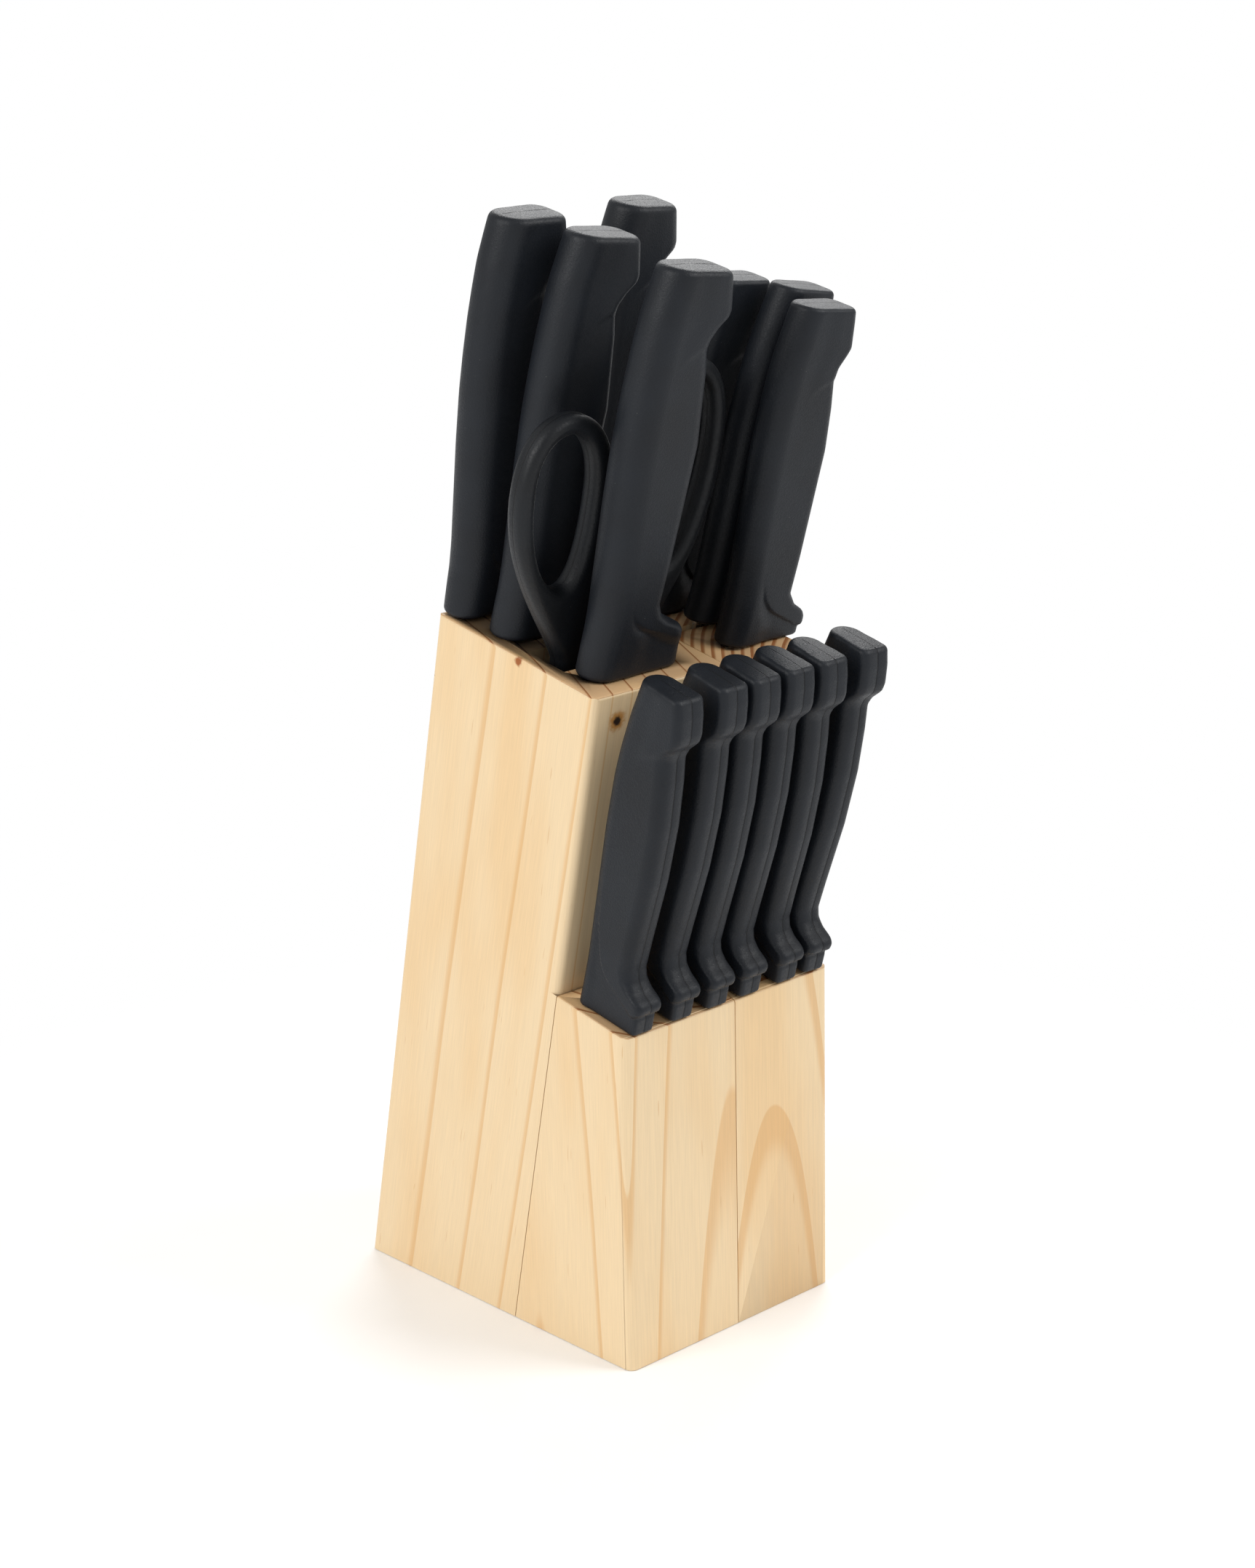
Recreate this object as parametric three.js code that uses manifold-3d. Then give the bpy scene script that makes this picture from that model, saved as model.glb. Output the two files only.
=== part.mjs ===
// A pine knife block with thirteen knives and a pair of kitchen shears.
//
// Millimetres, +Z up, the origin on the floor under the middle of the block. X runs from
// left to right and -Y is the front. All the slots lean forward by LEAN, so most pieces are
// placed in a leaning frame: its z runs up the slots, its -y towards the front, and its
// origin lies on the bottom edge of the block's back.

import * as THREE from 'three';
import { mergeVertices } from 'three/addons/utils/BufferGeometryUtils.js';
import Module from 'manifold-3d';

const wasm = await Module();
wasm.setup();

// ---- Driving dimensions -------------------------------------------------------------

// The block
const LEAN = THREE.MathUtils.degToRad(12);
const BASE_DEPTH = 117.5; // along the floor, front to back
const TALL_THICKNESS = 66; // the tall rear part, across the lean
const TALL_LENGTH = 213.7; // its back face, along the lean
const STEP_HEIGHT = 100.6; // the front face, floor to step
const GLUE_GAP = 0.3; // between neighbouring boards
const TALL_JOINT = 50; // the upright glue lines, from the left face
const FRONT_JOINT = 43;

// Fits
const SEAT_GAP = 0.3; // under a bolster that rests on the block
const SLOT_SLACK = 0.6; // on each side of a blade in its slot
const TIP_ROOM = 3; // between a blade's tip and the slot's floor
const TANG_GAP = 0.3; // round a tang in its handle
const LAYER_GAP = 0.3; // between the two halves of the shears

// Handles. Widths are measured from the straight line of the spine towards the edge,
// rises from the bolster's foot and drops from the butt.
const LARGE_HANDLE = {
  length: 114, heel: 2.5, foot: 29.8, guard: 30.8, guardRise: 8.5, neck: 20.4, neckRise: 20,
  belly: 26.2, bellyRise: 64, topNeck: 24.9, topNeckDrop: 22, hook: 31.7, hookDrop: 14,
  butt: 30.3, crown: 10, slope: 2, thickness: 14.6, footThickness: 13, tang: 70,
};
const MEDIUM_HANDLE = {
  ...LARGE_HANDLE,
  foot: 27.6, guard: 28.6, neck: 19, belly: 24.4, topNeck: 23.2, hook: 29.5, butt: 28.2,
};
const SMALL_HANDLE = {
  length: 98, heel: 2, foot: 26.8, guard: 28, guardRise: 5.5, neck: 20.8, neckRise: 14.5,
  belly: 25, bellyRise: 55, topNeck: 23.8, topNeckDrop: 22, hook: 28.4, hookDrop: 15.5,
  butt: 27.6, crown: 8.5, slope: 1.5, thickness: 11.6, footThickness: 10.8, tang: 60,
};
const STEAK_HANDLE = {
  length: 102, heel: 2, foot: 22.8, guard: 24.4, guardRise: 8.8, neck: 17.6, neckRise: 17.3,
  belly: 21.9, bellyRise: 62, topNeck: 20.7, topNeckDrop: 18, hook: 24.3, hookDrop: 12.5,
  butt: 22.6, crown: 7, slope: 1, thickness: 10.4, footThickness: 9.6, tang: 60,
};
const FOOT_ROUND = 1.6; // rounding of a handle's two ends
const BUTT_ROUND = 2;
const BLADE_INSET = 1; // a blade's back, inside the handle's spine line

// Blades: the tip is 'drop' (the edge rises to the spine), 'sheep' (the spine falls to the
// edge) or 'round'
const CHEF_BLADE = { length: 190, width: 28, thickness: 1.8, tip: 'drop', tipLength: 75 };
const BREAD_BLADE = { length: 190, width: 24, thickness: 1.6, tip: 'round', tipLength: 22 };
const CARVING_BLADE = { length: 188, width: 24, thickness: 1.6, tip: 'drop', tipLength: 60 };
const SANTOKU_BLADE = { length: 165, width: 26.5, thickness: 1.8, tip: 'sheep', tipLength: 40 };
const BONING_BLADE = { length: 135, width: 17, thickness: 1.5, tip: 'drop', tipLength: 45 };
const UTILITY_BLADE = { length: 125, width: 17, thickness: 1.5, tip: 'drop', tipLength: 40 };
const PARING_BLADE = { length: 88, width: 18, thickness: 1.5, tip: 'drop', tipLength: 34 };
const STEAK_BLADE = { length: 95, width: 18.5, thickness: 1.2, tip: 'drop', tipLength: 30 };

// Where each large or small knife stands on the tall part: spine line from the left face,
// blade plane from the back face, and its own tilt to the right in degrees. A slot may be
// longer than its blade on the spine side.
const TALL_KNIVES = [
  { name: 'bread_knife', handle: LARGE_HANDLE, blade: BREAD_BLADE, left: 2.6, back: 4.4, tilt: -4.9 },
  { name: 'santoku_knife', handle: LARGE_HANDLE, blade: SANTOKU_BLADE, left: 4.6, back: 21.8, tilt: 0 },
  { name: 'chef_knife', handle: LARGE_HANDLE, blade: CHEF_BLADE, left: 7.5, back: 54.3, tilt: 0 },
  { name: 'carving_knife', handle: MEDIUM_HANDLE, blade: CARVING_BLADE, left: 42.3, back: 4.5, tilt: -3 },
  { name: 'boning_knife', handle: SMALL_HANDLE, blade: BONING_BLADE, left: 56, back: 26.5, tilt: 0 },
  { name: 'utility_knife', handle: SMALL_HANDLE, blade: UTILITY_BLADE, left: 60.3, back: 41, tilt: 3.9, spare: 8 },
  { name: 'paring_knife', handle: SMALL_HANDLE, blade: PARING_BLADE, left: 58.6, back: 55.5, tilt: 1 },
];

// The six steak knives set the width of the block. Each one stands a little out of the even
// spacing (a share of the gap between two handles) and tilts a little.
const STEAK_GAP = 3.2;
const STEAK_SETBACK = 6; // from the tall part's front face to the spine lines
const STEAK_KNIVES = [
  { drift: -0.09, tilt: 0 },
  { drift: 0.34, tilt: 1 },
  { drift: 0.41, tilt: 0.3 },
  { drift: 0.25, tilt: 0.3 },
  { drift: 0.68, tilt: -0.8 },
  { drift: -0.06, tilt: 2.2 },
];
const STEAK_SPINE = TALL_THICKNESS + STEAK_SETBACK; // from the back face
const STEAK_PITCH = STEAK_HANDLE.thickness + STEAK_GAP;
const BLOCK_WIDTH = STEAK_PITCH * STEAK_KNIVES.length;

// Shears, drawn closed. Rises are from the mouth of their slot and outs from the middle
// line between the two halves.
const SHEARS_LEFT = 23.7; // middle line, from the left face
const SHEARS_BACK = 40.5; // middle plane, from the back face
const SHEARS_THICKNESS = 7.4;
const SHEARS_ROUND = 2.2;
const SHANK_OUT = 15.4;
const SHANK_INNER = 2;
const SHANK_FOOT = -14;
const LOOP_OUT = 37.1;
const LOOP_WALL = 5.4;
const THUMB_TOP = 71.7;
const FINGER_TOP = 82.5;
const HOLE_FOOT = 22;
const PIVOT_RISE = -45;
const PIVOT_BOSS = 9.5;
const SHEARS_TIP = -130;
const SHEARS_BLADE = 2.2; // thickness of each half's steel
const SHEARS_TANG = { in: 5, out: 11, top: 8 };
const SHEARS_SLOT_THICKNESS = 15.2;
const SHEARS_SLOT_OUT = 18.6; // left end of the slot, from the middle line
const SHEARS_SLOT_IN = 24.8; // right end of the slot
const SCREW_RADIUS = 2.4;
const SCREW_HEAD = 5;

// ---- Materials ----------------------------------------------------------------------

function finish(color, roughness, metalness) {
  return () => new THREE.MeshStandardMaterial({ color, roughness, metalness });
}
const pine = finish(0xf0d2a0, 0.6, 0);
const blackPlastic = finish(0x24262a, 0.5, 0);
const steel = finish(0xc8cacc, 0.3, 1);

// ---- Solids -------------------------------------------------------------------------

function toSolid(geometry) {
  const bare = geometry.clone();
  bare.deleteAttribute('normal');
  bare.deleteAttribute('uv');
  const merged = mergeVertices(bare, 1e-4);
  return new wasm.Manifold(new wasm.Mesh({
    numProp: 3,
    vertProperties: new Float32Array(merged.attributes.position.array),
    triVerts: new Uint32Array(merged.index.array),
  }));
}

function toGeometry(solid) {
  const mesh = solid.getMesh();
  const geometry = new THREE.BufferGeometry();
  geometry.setAttribute('position', new THREE.BufferAttribute(mesh.vertProperties, 3));
  geometry.setIndex(new THREE.BufferAttribute(mesh.triVerts, 1));
  geometry.computeVertexNormals();
  return geometry;
}

function cut(geometry, cutters) {
  let solid = toSolid(geometry);
  for (const cutter of cutters) {
    solid = solid.subtract(toSolid(cutter));
  }
  return toGeometry(solid);
}

function boxBetween(low, high) {
  const box = new THREE.BoxGeometry(high[0] - low[0], high[1] - low[1], high[2] - low[2]);
  return box.translate((low[0] + high[0]) / 2, (low[1] + high[1]) / 2, (low[2] + high[2]) / 2);
}

// A shape drawn in x and z, given a thickness along y and centred on the plane y = 0
function upright(shape, thickness, round = 0, curveSegments = 8) {
  const geometry = new THREE.ExtrudeGeometry(shape, {
    depth: thickness - 2 * round,
    bevelEnabled: round > 0,
    bevelThickness: round,
    bevelSize: round,
    bevelOffset: -round,
    bevelSegments: 2,
    curveSegments,
  });
  return geometry.rotateX(Math.PI / 2).translate(0, thickness / 2 - round, 0);
}

function named(name, geometry, material, parent) {
  const mesh = new THREE.Mesh(geometry, material());
  mesh.name = name;
  parent.add(mesh);
  return mesh;
}

// ---- Handles ------------------------------------------------------------------------

// The spine line: it flares out to the heel at the foot and bends in towards the butt
function spineAt(handle, rise) {
  const flare = Math.max(0, 1 - rise / (2 * handle.guardRise));
  const bend = Math.max(0, 2 * rise / handle.length - 1);
  return handle.crown * bend ** 2.2 - handle.heel * flare ** 1.5;
}

function thicknessAt(handle, rise) {
  const grown = THREE.MathUtils.smoothstep(rise, handle.guardRise, handle.bellyRise);
  return THREE.MathUtils.lerp(handle.footThickness, handle.thickness, grown);
}

// Level sections from foot to butt: rise, edge-side width, and how far the end rounding
// has shrunk the section
function handleLevels(handle) {
  const hookRise = handle.length - handle.hookDrop;
  const topNeckRise = handle.length - handle.topNeckDrop;
  const lowerGrip = (handle.neck + 2 * handle.belly) / 3;
  const upperGrip = (handle.belly + handle.topNeck) / 2 + 0.3;
  return [
    { rise: 0, front: handle.foot, inset: FOOT_ROUND },
    { rise: FOOT_ROUND, front: handle.foot, inset: 0 },
    { rise: handle.guardRise, front: handle.guard, inset: 0 },
    { rise: handle.guardRise + 3, front: handle.guard - 1.8, inset: 0 },
    { rise: handle.neckRise - 4.5, front: handle.neck + 2.2, inset: 0 },
    { rise: handle.neckRise, front: handle.neck, inset: 0 },
    { rise: (handle.neckRise + handle.bellyRise) / 2, front: lowerGrip, inset: 0 },
    { rise: handle.bellyRise, front: handle.belly, inset: 0 },
    { rise: (handle.bellyRise + topNeckRise) / 2, front: upperGrip, inset: 0 },
    { rise: topNeckRise, front: handle.topNeck, inset: 0 },
    { rise: hookRise - 2.5, front: (handle.topNeck + handle.hook) / 2 + 0.6, inset: 0 },
    { rise: hookRise, front: handle.hook, inset: 0 },
    { rise: handle.length - BUTT_ROUND, front: handle.butt, inset: 0 },
    { rise: handle.length - BUTT_ROUND * 0.3, front: handle.butt, inset: BUTT_ROUND * 0.4 },
    { rise: handle.length, front: handle.butt, inset: BUTT_ROUND },
  ];
}

// One point of a section: a rectangle with a wide round on the spine side and a tighter
// one on the edge side, walked in SIDES steps
const SIDES = 16;
const BACK_ROUND = 0.44; // corner radii, as shares of the thickness
const FRONT_ROUND = 0.34;
function sectionPoint(handle, level, side) {
  const corner = Math.floor(side / (SIDES / 4));
  const turn = (corner + (side % (SIDES / 4)) / (SIDES / 4 - 1)) * Math.PI / 2;
  const onFront = corner === 0 || corner === 3;
  const half = thicknessAt(handle, level.rise) / 2;
  const radius = 2 * half * (onFront ? FRONT_ROUND : BACK_ROUND) - level.inset;
  const back = spineAt(handle, level.rise);
  const centreX = onFront ? level.front - level.inset - radius : back + level.inset + radius;
  const centreY = (corner < 2 ? 1 : -1) * (half - level.inset - radius);
  const x = centreX + radius * Math.cos(turn);
  const along = (x - back) / (level.front - back);
  const buttShare = Math.max(0, 1 - (handle.length - level.rise) / handle.hookDrop);
  return [x, centreY + radius * Math.sin(turn), level.rise - handle.slope * buttShare * along];
}

// A cylinder whose rings are reshaped to the handle's sections
function handleGeometry(handle, blade) {
  const levels = handleLevels(handle);
  const geometry = new THREE.CylinderGeometry(1, 1, 1, SIDES, levels.length - 1);
  const position = geometry.attributes.position;
  for (let i = 0; i < position.count; i += 1) {
    const ring = Math.round((position.getY(i) + 0.5) * (levels.length - 1));
    const angle = Math.atan2(position.getX(i), position.getZ(i));
    const side = Math.round(angle / (2 * Math.PI) * SIDES + SIDES) % SIDES;
    if (Math.hypot(position.getX(i), position.getZ(i)) > 0.5) {
      position.setXYZ(i, ...sectionPoint(handle, levels[ring], side));
    } else {
      const [x1, , z1] = sectionPoint(handle, levels[ring], 0);
      const [x2, , z2] = sectionPoint(handle, levels[ring], SIDES / 2);
      position.setXYZ(i, (x1 + x2) / 2, 0, (z1 + z2) / 2);
    }
  }
  const tang = tangSpan(handle);
  const socket = boxBetween(
    [tang.back - TANG_GAP, -blade.thickness / 2 - TANG_GAP, -1],
    [tang.front + TANG_GAP, blade.thickness / 2 + TANG_GAP, handle.tang + TANG_GAP],
  );
  return cut(geometry, [socket]);
}

// The tang is a narrow strip in the middle of the neck
function tangSpan(handle) {
  return { back: handle.neck * 0.3, front: handle.neck * 0.7 };
}

// ---- Blades -------------------------------------------------------------------------

function bladeGeometry(handle, blade) {
  const back = BLADE_INSET;
  const front = BLADE_INSET + blade.width;
  const top = -TANG_GAP;
  const tip = -blade.length;
  const turn = tip + blade.tipLength;
  const tang = tangSpan(handle);
  const shape = new THREE.Shape();
  shape.moveTo(tang.front, handle.tang);
  shape.lineTo(tang.back, handle.tang);
  shape.lineTo(tang.back, top);
  shape.lineTo(back, top);
  if (blade.tip === 'sheep') {
    shape.lineTo(back, turn);
    shape.quadraticCurveTo(back + blade.width * 0.1, tip + 2, front - 3, tip);
    shape.lineTo(front - 1, turn);
  } else if (blade.tip === 'round') {
    shape.lineTo(back, turn);
    shape.quadraticCurveTo(back, tip, (back + front) / 2, tip);
    shape.quadraticCurveTo(front - 1, tip, front - 1, turn);
  } else {
    shape.lineTo(back, tip + 2);
    shape.quadraticCurveTo(back + 0.1, tip, back + 1.2, tip);
    shape.quadraticCurveTo(front - 2.5, tip + blade.tipLength * 0.45, front - 1, turn);
  }
  shape.lineTo(front, top - 6);
  shape.lineTo(front, top);
  shape.lineTo(tang.front, top);
  return upright(shape, blade.thickness, 0, 6);
}

function slotGeometry(blade, spare = 0) {
  const half = blade.thickness / 2 + SLOT_SLACK;
  return boxBetween(
    [BLADE_INSET - SLOT_SLACK - spare, -half, -blade.length - TIP_ROOM],
    [BLADE_INSET + blade.width + SLOT_SLACK, half, 10],
  );
}

// How far a tilted handle is lifted so that its lowest corner clears the wood
function liftFor(reachFront, reachBack, tilt) {
  return SEAT_GAP + Math.max(reachFront * Math.sin(tilt), reachBack * Math.sin(-tilt), 0);
}

// ---- Shears -------------------------------------------------------------------------

// The plastic of one half, to the right of the middle line: a shank, and a loop round a hole
function loopShape(top) {
  const inner = SHANK_INNER + 2;
  const middle = (HOLE_FOOT + top) / 2 + 2;
  const centre = (LOOP_OUT + inner) / 2;
  const shape = new THREE.Shape();
  shape.moveTo(SHANK_INNER, SHANK_FOOT);
  shape.lineTo(SHANK_OUT - 2, SHANK_FOOT);
  shape.lineTo(SHANK_OUT, 0);
  shape.bezierCurveTo(SHANK_OUT + 5, 10, LOOP_OUT, 28, LOOP_OUT, middle);
  shape.bezierCurveTo(LOOP_OUT, top - 7, centre + 9, top, centre, top);
  shape.bezierCurveTo(centre - 9, top, inner, top - 9, inner, middle);
  shape.bezierCurveTo(inner, 38, SHANK_INNER, 26, SHANK_INNER, 14);
  shape.closePath();
  const holeOuter = LOOP_OUT - LOOP_WALL;
  const holeInner = inner + LOOP_WALL + 1.2;
  const holeCentre = (holeOuter + holeInner) / 2;
  const holeTop = top - LOOP_WALL;
  const hole = new THREE.Path();
  hole.moveTo(holeCentre - 3, HOLE_FOOT);
  hole.bezierCurveTo(holeCentre + 4, HOLE_FOOT, holeOuter, middle - 15, holeOuter, middle + 3);
  hole.bezierCurveTo(holeOuter, holeTop - 4, holeCentre + 5, holeTop, holeCentre, holeTop);
  hole.bezierCurveTo(holeCentre - 5, holeTop, holeInner, holeTop - 6, holeInner, middle);
  hole.bezierCurveTo(holeInner, middle - 15, holeCentre - 8, HOLE_FOOT, holeCentre - 3, HOLE_FOOT);
  shape.holes.push(hole);
  return shape;
}

// The steel of one half: a tang in the plastic, a shank that crosses the pivot, and the
// blade on the other side of the middle line
function shearsSteelShape() {
  const shape = new THREE.Shape();
  shape.moveTo(SHEARS_TANG.out, SHEARS_TANG.top);
  shape.lineTo(SHEARS_TANG.in, SHEARS_TANG.top);
  shape.lineTo(SHEARS_TANG.in, SHANK_FOOT);
  shape.quadraticCurveTo(2, PIVOT_RISE + 12, -PIVOT_BOSS, PIVOT_RISE - 2);
  shape.lineTo(-PIVOT_BOSS, PIVOT_RISE - 16);
  shape.quadraticCurveTo(-8, SHEARS_TIP + 30, -1.5, SHEARS_TIP);
  shape.lineTo(0.5, SHEARS_TIP);
  shape.lineTo(3.5, PIVOT_RISE - 20);
  shape.quadraticCurveTo(PIVOT_BOSS, PIVOT_RISE - 4, PIVOT_BOSS, PIVOT_RISE + 3);
  shape.lineTo(SHEARS_TANG.out, SHANK_FOOT);
  shape.closePath();
  const bore = new THREE.Path();
  bore.absarc(0, PIVOT_RISE, SCREW_RADIUS + LAYER_GAP, 0, 2 * Math.PI, true);
  shape.holes.push(bore);
  return shape;
}

// The same half serves both sides: turned half round, it is the one on the left
function buildShearsHalf(name, turn, top, parent) {
  const half = new THREE.Group();
  half.rotation.z = turn;
  parent.add(half);
  const layer = (SHEARS_BLADE + LAYER_GAP) / 2;
  const steelHalf = upright(shearsSteelShape(), SHEARS_BLADE).translate(0, layer, 0);
  named(`${name}_blade`, steelHalf, steel, half);
  const reach = SHEARS_BLADE / 2 + TANG_GAP;
  const socket = boxBetween(
    [SHEARS_TANG.in - TANG_GAP, layer - reach, SHANK_FOOT - 1],
    [SHEARS_TANG.out + TANG_GAP, layer + reach, SHEARS_TANG.top + TANG_GAP],
  );
  const grip = upright(loopShape(top), SHEARS_THICKNESS, SHEARS_ROUND, 6);
  named(`${name}_handle`, cut(grip, [socket]), blackPlastic, half);
}

// The pivot's two turned pieces, revolved round y: the screw's head lies at the front
function buildPivot(parent) {
  const stack = SHEARS_BLADE + LAYER_GAP / 2;
  const headFace = -stack - LAYER_GAP;
  const nutFace = stack + LAYER_GAP;
  const screw = [
    [0, headFace - 1.6], [SCREW_HEAD - 1, headFace - 1.6], [SCREW_HEAD, headFace - 0.8],
    [SCREW_HEAD, headFace], [SCREW_RADIUS, headFace], [SCREW_RADIUS, nutFace + 2], [0, nutFace + 2],
  ];
  const nut = [
    [SCREW_RADIUS + LAYER_GAP, nutFace], [SCREW_HEAD - 0.4, nutFace], [SCREW_HEAD - 0.4, nutFace + 1.4],
    [SCREW_RADIUS + LAYER_GAP, nutFace + 1.4], [SCREW_RADIUS + LAYER_GAP, nutFace],
  ];
  for (const [name, profile] of [['shears_pivot_screw', screw], ['shears_pivot_nut', nut]]) {
    const points = profile.map(([radius, along]) => new THREE.Vector2(radius, along));
    named(name, new THREE.LatheGeometry(points, 20).translate(0, 0, PIVOT_RISE), steel, parent);
  }
}

// ---- The block ----------------------------------------------------------------------

// A point given by its depth from the back face and its rise along the lean, as the height
// and depth of the whole object
function leaning(back, rise) {
  const y = BASE_DEPTH / 2 - back * Math.cos(LEAN) - rise * Math.sin(LEAN);
  const z = rise * Math.cos(LEAN) - back * Math.sin(LEAN);
  return new THREE.Vector2(y, z);
}

function floorAt(back) {
  return leaning(back, back * Math.tan(LEAN));
}

// The step is cut square to the lean, so its back edge lies lower on the lean than z alone
function stepRise() {
  return BASE_DEPTH * Math.sin(LEAN) + STEP_HEIGHT * Math.cos(LEAN);
}

// A board: an outline in y and z, from one side to the other
function board(outline, left, right, slots) {
  const shape = new THREE.Shape(outline);
  const geometry = new THREE.ExtrudeGeometry(shape, { depth: right - left, bevelEnabled: false });
  geometry.rotateY(Math.PI / 2).rotateX(Math.PI / 2);
  geometry.translate(left - BLOCK_WIDTH / 2, 0, 0);
  return cut(geometry, slots);
}

function buildBlock(slots, parent) {
  const tall = [
    floorAt(0), leaning(0, TALL_LENGTH), leaning(TALL_THICKNESS, TALL_LENGTH), floorAt(TALL_THICKNESS),
  ];
  const joint = TALL_THICKNESS + GLUE_GAP;
  const front = [
    floorAt(joint), leaning(joint, stepRise()),
    new THREE.Vector2(-BASE_DEPTH / 2, STEP_HEIGHT), new THREE.Vector2(-BASE_DEPTH / 2, 0),
  ];
  const pieces = [
    ['tall_board_left', tall, 0, TALL_JOINT - GLUE_GAP / 2],
    ['tall_board_right', tall, TALL_JOINT + GLUE_GAP / 2, BLOCK_WIDTH],
    ['front_board_left', front, 0, FRONT_JOINT - GLUE_GAP / 2],
    ['front_board_right', front, FRONT_JOINT + GLUE_GAP / 2, BLOCK_WIDTH],
  ];
  for (const [name, outline, left, right] of pieces) {
    named(name, board(outline, left, right, slots), pine, parent);
  }
}

// ---- Assembly -----------------------------------------------------------------------

const knifeBlock = new THREE.Group();
const leanFrame = new THREE.Group();
leanFrame.position.set(0, BASE_DEPTH / 2, 0);
leanFrame.rotation.x = LEAN;
knifeBlock.add(leanFrame);
const slots = [];

// A knife's own frame: z up to the butt, x towards the edge, the origin on its foot
function buildKnife(name, handle, blade, stand, spare) {
  leanFrame.add(stand);
  named(`${name}_handle`, handleGeometry(handle, blade), blackPlastic, stand);
  named(`${name}_blade`, bladeGeometry(handle, blade), steel, stand);
  knifeBlock.updateMatrixWorld(true);
  slots.push(slotGeometry(blade, spare).applyMatrix4(stand.matrixWorld));
}

function buildTallKnives() {
  for (const knife of TALL_KNIVES) {
    const tilt = THREE.MathUtils.degToRad(knife.tilt);
    const lift = liftFor(knife.handle.guard, knife.handle.heel, tilt);
    const stand = new THREE.Group();
    stand.position.set(knife.left - BLOCK_WIDTH / 2, -knife.back, TALL_LENGTH + lift);
    stand.rotation.set(0, tilt, 0);
    buildKnife(knife.name, knife.handle, knife.blade, stand, knife.spare);
  }
}

// The steak knives are turned so that their edges face the front
function buildSteakKnives() {
  STEAK_KNIVES.forEach((knife, index) => {
    const tilt = THREE.MathUtils.degToRad(knife.tilt);
    const half = STEAK_HANDLE.footThickness / 2;
    const left = (index + 0.5) * STEAK_PITCH + knife.drift * STEAK_GAP;
    const stand = new THREE.Group();
    stand.position.set(left - BLOCK_WIDTH / 2, -STEAK_SPINE, stepRise() + liftFor(half, half, tilt));
    stand.rotation.set(0, tilt, -Math.PI / 2);
    buildKnife(`steak_knife_${index + 1}`, STEAK_HANDLE, STEAK_BLADE, stand);
  });
}

function buildShears() {
  const stand = new THREE.Group();
  stand.position.set(SHEARS_LEFT - BLOCK_WIDTH / 2, -SHEARS_BACK, TALL_LENGTH);
  leanFrame.add(stand);
  buildShearsHalf('shears_thumb', Math.PI, THUMB_TOP, stand);
  buildShearsHalf('shears_finger', 0, FINGER_TOP, stand);
  buildPivot(stand);
  knifeBlock.updateMatrixWorld(true);
  const slot = boxBetween(
    [-SHEARS_SLOT_OUT, -SHEARS_SLOT_THICKNESS / 2, SHEARS_TIP - TIP_ROOM],
    [SHEARS_SLOT_IN, SHEARS_SLOT_THICKNESS / 2, 10],
  );
  slots.push(slot.applyMatrix4(stand.matrixWorld));
}

buildTallKnives();
buildSteakKnives();
buildShears();
buildBlock(slots, knifeBlock);

export default knifeBlock;
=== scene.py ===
# %% [markdown]
# # A pine knife block, thirteen knives and kitchen shears
#
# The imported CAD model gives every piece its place. This lesson dresses it: pine boards with
# growth rings that run through the wood, handles of finely textured black plastic with a
# parting line, ground steel blades, and soft studio light.
#
# Lengths are in metres, +Z is up and -Y is the front. The slots lean forward, so the knives,
# the shears and the tall boards' edges and grain are drawn in a *leaning frame*: its z runs
# up the slots, its -y towards the front, and its origin lies on the bottom edge of the
# block's back. Profiles and outlines are written in millimetres and scaled by MM.

import math

import bmesh
import bpy
import numpy as np
from mathutils import Matrix, Vector


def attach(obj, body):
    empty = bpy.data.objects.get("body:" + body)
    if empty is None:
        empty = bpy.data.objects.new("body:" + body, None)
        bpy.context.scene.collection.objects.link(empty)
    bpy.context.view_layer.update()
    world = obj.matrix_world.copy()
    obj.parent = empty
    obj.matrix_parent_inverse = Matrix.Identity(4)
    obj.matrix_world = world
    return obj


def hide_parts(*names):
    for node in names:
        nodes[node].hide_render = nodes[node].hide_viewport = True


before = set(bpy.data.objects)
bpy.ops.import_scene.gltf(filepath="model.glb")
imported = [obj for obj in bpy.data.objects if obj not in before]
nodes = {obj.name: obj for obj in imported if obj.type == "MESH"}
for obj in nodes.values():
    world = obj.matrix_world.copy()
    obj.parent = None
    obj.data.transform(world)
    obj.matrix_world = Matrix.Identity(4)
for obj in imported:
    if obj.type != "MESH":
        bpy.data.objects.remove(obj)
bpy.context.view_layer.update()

# %% Sizes of the block and its leaning frame
MM = 0.001
LEAN = math.radians(12)
BLOCK_WIDTH = 81.6 * MM
BASE_DEPTH = 117.5 * MM
TALL_THICKNESS = 66 * MM
TALL_LENGTH = 213.7 * MM
STEP_HEIGHT = 100.6 * MM
STEP_RISE = BASE_DEPTH * math.sin(LEAN) + STEP_HEIGHT * math.cos(LEAN)
SEAT_GAP = 0.3 * MM

leaning = Matrix.Translation((0, BASE_DEPTH / 2, 0)) @ Matrix.Rotation(LEAN, 4, "X")
print("the step lies", round(STEP_RISE / MM, 1), "mm up the lean")

# %% [markdown]
# ## Helpers for shapes
# Moulded handles and ground blades change slowly along their length. They could be cages
# under a subdivision modifier, but here each is a skin over level sections, because one
# section can be measured and changed without moving the rest. A profile is a list of
# (height, offset) pairs in millimetres, read as straight stretches with softened corners.

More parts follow.
